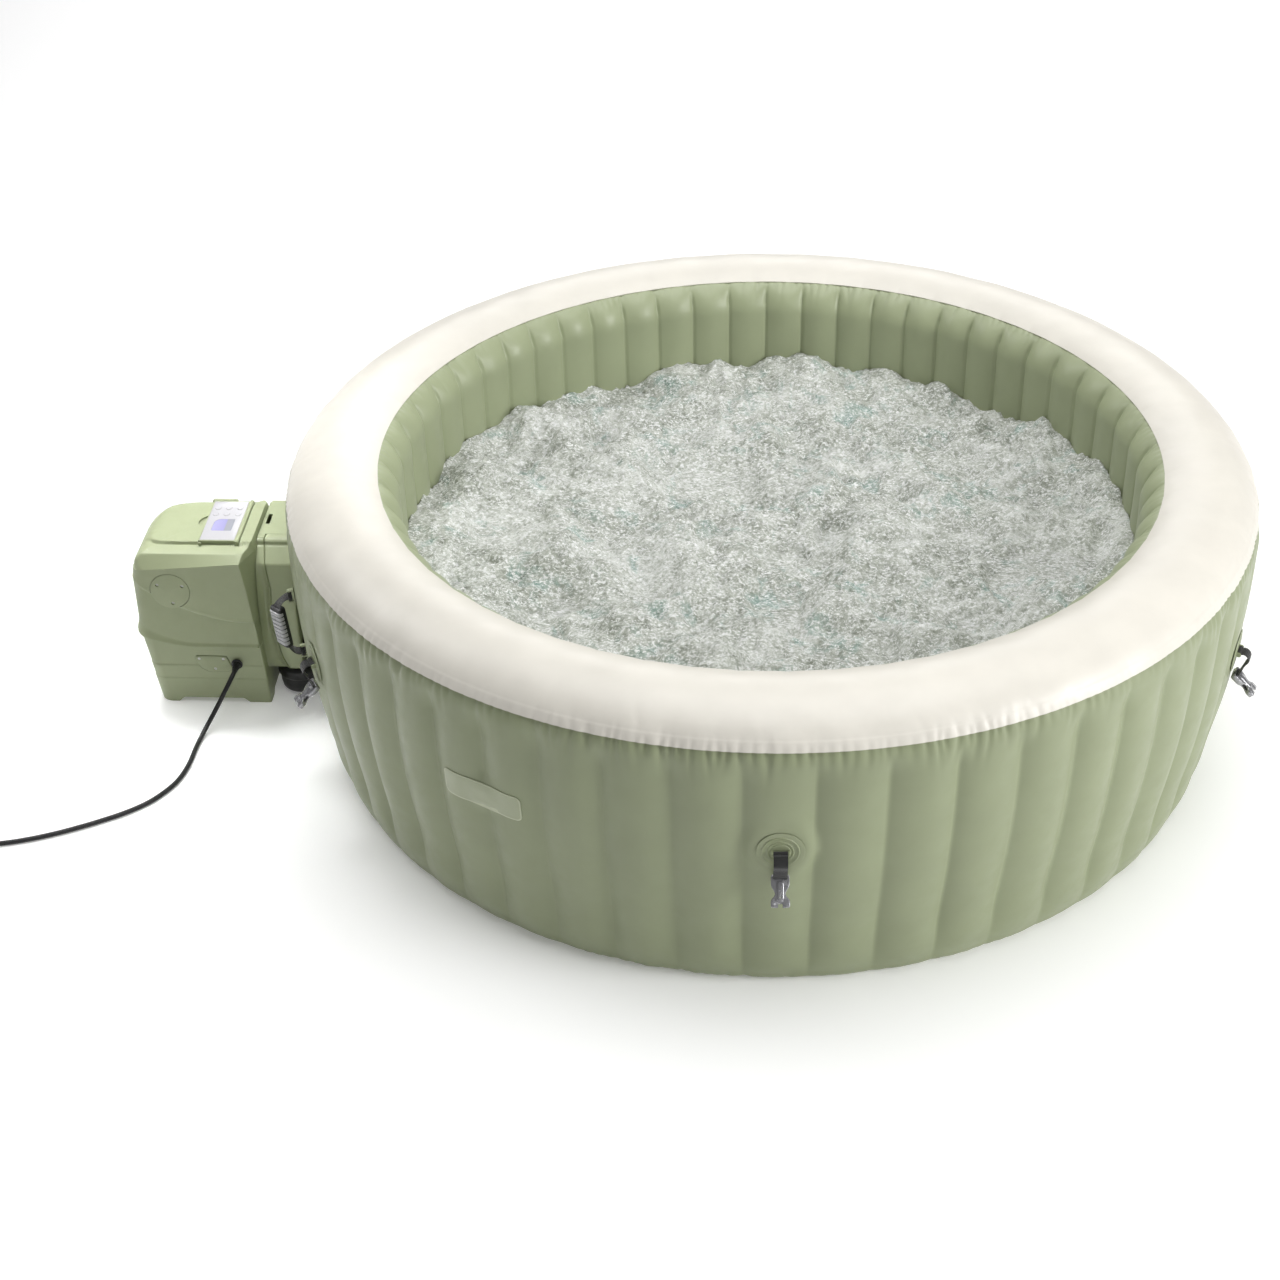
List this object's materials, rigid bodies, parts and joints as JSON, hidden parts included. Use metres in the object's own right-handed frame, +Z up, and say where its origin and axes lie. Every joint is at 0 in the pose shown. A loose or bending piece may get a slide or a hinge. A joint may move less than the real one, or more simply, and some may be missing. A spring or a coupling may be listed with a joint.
{
  "type": "inflatable hot tub",
  "caption": "Round inflatable hot tub with a soft rim, panelled walls, cover straps and carry handles, joined by a bridge to a floor-standing pump and heater unit with a power cord.",
  "frame": {"origin": "centre of the tub on the floor", "axes": "+Z up, -Y to the front strap, -X to the pump unit"},
  "size_m": [3.0026, 2.2079, 0.691],
  "materials": {
    "vinyl_sage": "soft laminated vinyl with a fine satin sheen",
    "vinyl_cream": "soft laminated vinyl, satin",
    "vinyl_white": "woven-core vinyl web",
    "label_film": "printed film, satin",
    "webbing_black": "woven polypropylene webbing",
    "buckle_grey": "moulded acetal",
    "grip_grey": "ribbed moulding",
    "plastic_black": "moulded, fine texture",
    "shell_sage": "injection moulded, fine spark texture",
    "steel": "stainless, machined",
    "panel_white": "overlay film, gloss",
    "display": "tinted display window",
    "moulding_dark": "glass-filled moulding",
    "motor_enamel": "enamelled motor case",
    "box_ivory": "sealed electronics box",
    "pipe_white": "pipe, smooth",
    "cord_rubber": "rubber-sheathed cord"
  },
  "bodies": {
    "tub": {"base_sheet": "vinyl_sage", "outer_wall": "vinyl_sage", "inner_wall": "vinyl_sage", "rim_cover": "vinyl_cream", "wall_webs": "vinyl_white", "air_jet_ring": "vinyl_sage", "label_plate": "label_film", "strap_patches": "vinyl_sage", "handle_patches": "vinyl_sage", "valve_bodies": "plastic_black", "wall_fittings": "plastic_black", "union_collars": "plastic_black", "pool_grilles": "plastic_black", "unit_base": "shell_sage", "unit_housing": "shell_sage", "unit_top_cover": "shell_sage", "bridge_housing": "shell_sage", "bridge_feet": "plastic_black", "hinge_pins": "steel", "service_covers": "shell_sage", "cover_screws": "steel", "pump_housing": "moulding_dark", "pump_motor": "motor_enamel", "heater_tube": "steel", "blower_housing": "moulding_dark", "blower_motor": "motor_enamel", "control_box": "box_ivory", "unit_pipes": "pipe_white", "cable_gland": "cord_rubber", "cord_tube": "cord_rubber", "cord_coil": "cord_rubber", "power_plug": "cord_rubber"},
    "strap_1": {"strap_webbing_1": "webbing_black", "strap_buckle_1": "buckle_grey"},
    "strap_2": {"strap_webbing_2": "webbing_black", "strap_buckle_2": "buckle_grey"},
    "strap_3": {"strap_webbing_3": "webbing_black", "strap_buckle_3": "buckle_grey"},
    "strap_4": {"strap_webbing_4": "webbing_black", "strap_buckle_4": "buckle_grey"},
    "strap_5": {"strap_webbing_5": "webbing_black", "strap_buckle_5": "buckle_grey"},
    "handle_1": {"handle_webbing_1": "webbing_black", "handle_grip_1": "grip_grey"},
    "handle_2": {"handle_webbing_2": "webbing_black", "handle_grip_2": "grip_grey"},
    "bridge_lid": {"bridge_lid": "shell_sage"},
    "control_panel": {"panel_frame": "shell_sage", "panel_plate": "panel_white", "display_window": "display"},
    "key_power": {"key_power": "panel_white"},
    "key_heater": {"key_heater": "panel_white"},
    "key_bubbles": {"key_bubbles": "panel_white"},
    "key_filter": {"key_filter": "panel_white"},
    "key_warmer": {"key_warmer": "panel_white"},
    "key_cooler": {"key_cooler": "panel_white"},
    "pump_impeller": {"pump_impeller": "moulding_dark"},
    "blower_fan": {"blower_fan": "moulding_dark"},
    "inflation_cap": {"inflation_cap": "plastic_black"},
    "drain_cap": {"drain_cap": "plastic_black"}
  },
  "joints": [
    {"name": "strap_1_lift", "type": "hinge", "parent": "tub", "child": "strap_1", "pos_m": [0.03779, -1.08208, 0.39247], "axis": [-0.9994, -0.0349, 0], "range_deg": [0, 75]},
    {"name": "strap_2_lift", "type": "hinge", "parent": "tub", "child": "strap_2", "pos_m": [1.01744, -0.37032, 0.39247], "axis": [-0.342, -0.9397, 0], "range_deg": [0, 75]},
    {"name": "strap_3_lift", "type": "hinge", "parent": "tub", "child": "strap_3", "pos_m": [0.75214, 0.77886, 0.39247], "axis": [0.7193, -0.6947, 0], "range_deg": [0, 75]},
    {"name": "strap_4_lift", "type": "hinge", "parent": "tub", "child": "strap_4", "pos_m": [-0.80463, 0.7245, 0.39247], "axis": [0.6691, 0.7431, 0], "range_deg": [0, 75]},
    {"name": "strap_5_lift", "type": "hinge", "parent": "tub", "child": "strap_5", "pos_m": [-0.97316, -0.47464, 0.39247], "axis": [-0.4384, 0.8988, 0], "range_deg": [0, 75]},
    {"name": "handle_1_swing", "type": "hinge", "parent": "tub", "child": "handle_1", "pos_m": [-1.05207, -0.25258, 0.344], "axis": [-0.0882, -0.0212, 0.9959], "range_deg": [-45, 45]},
    {"name": "handle_2_swing", "type": "hinge", "parent": "tub", "child": "handle_2", "pos_m": [1.05207, 0.25258, 0.344], "axis": [0.0882, 0.0212, 0.9959], "range_deg": [-45, 45]},
    {"name": "bridge_lid_hinge", "type": "hinge", "parent": "tub", "child": "bridge_lid", "pos_m": [-1.1035, 0.1015, 0.405], "axis": [0, 1, 0], "range_deg": [0, 80]},
    {"name": "control_panel_tilt", "type": "hinge", "parent": "tub", "child": "control_panel", "pos_m": [-1.226, 0.059, 0.418], "axis": [0, 1, 0], "range_deg": [0, 60]},
    {"name": "key_power_press", "type": "slide", "parent": "control_panel", "child": "key_power", "axis": [0, 0, -1], "range_m": [0, 0.0008], "stiffness_N_per_m": 900},
    {"name": "key_heater_press", "type": "slide", "parent": "control_panel", "child": "key_heater", "axis": [0, 0, -1], "range_m": [0, 0.0008], "stiffness_N_per_m": 900},
    {"name": "key_bubbles_press", "type": "slide", "parent": "control_panel", "child": "key_bubbles", "axis": [0, 0, -1], "range_m": [0, 0.0008], "stiffness_N_per_m": 900},
    {"name": "key_filter_press", "type": "slide", "parent": "control_panel", "child": "key_filter", "axis": [0, 0, -1], "range_m": [0, 0.0008], "stiffness_N_per_m": 900},
    {"name": "key_warmer_press", "type": "slide", "parent": "control_panel", "child": "key_warmer", "axis": [0, 0, -1], "range_m": [0, 0.0008], "stiffness_N_per_m": 900},
    {"name": "key_cooler_press", "type": "slide", "parent": "control_panel", "child": "key_cooler", "axis": [0, 0, -1], "range_m": [0, 0.0008], "stiffness_N_per_m": 900},
    {"name": "pump_impeller_spin", "type": "hinge", "parent": "tub", "child": "pump_impeller", "pos_m": [-1.395, 0, 0.078], "axis": [0, 1, 0], "continuous": true},
    {"name": "blower_fan_spin", "type": "hinge", "parent": "tub", "child": "blower_fan", "pos_m": [-1.33, 0.05, 0.262], "axis": [0, 0, 1], "continuous": true},
    {"name": "inflation_cap_turn", "type": "hinge", "parent": "tub", "child": "inflation_cap", "pos_m": [-0.92347, 0.53317, 0.3], "axis": [-0.8602, 0.4966, -0.1162], "continuous": true},
    {"name": "drain_cap_turn", "type": "hinge", "parent": "tub", "child": "drain_cap", "pos_m": [0.48065, 0.90397, 0.078], "axis": [0.4529, 0.8517, -0.2637], "continuous": true}
  ]
}
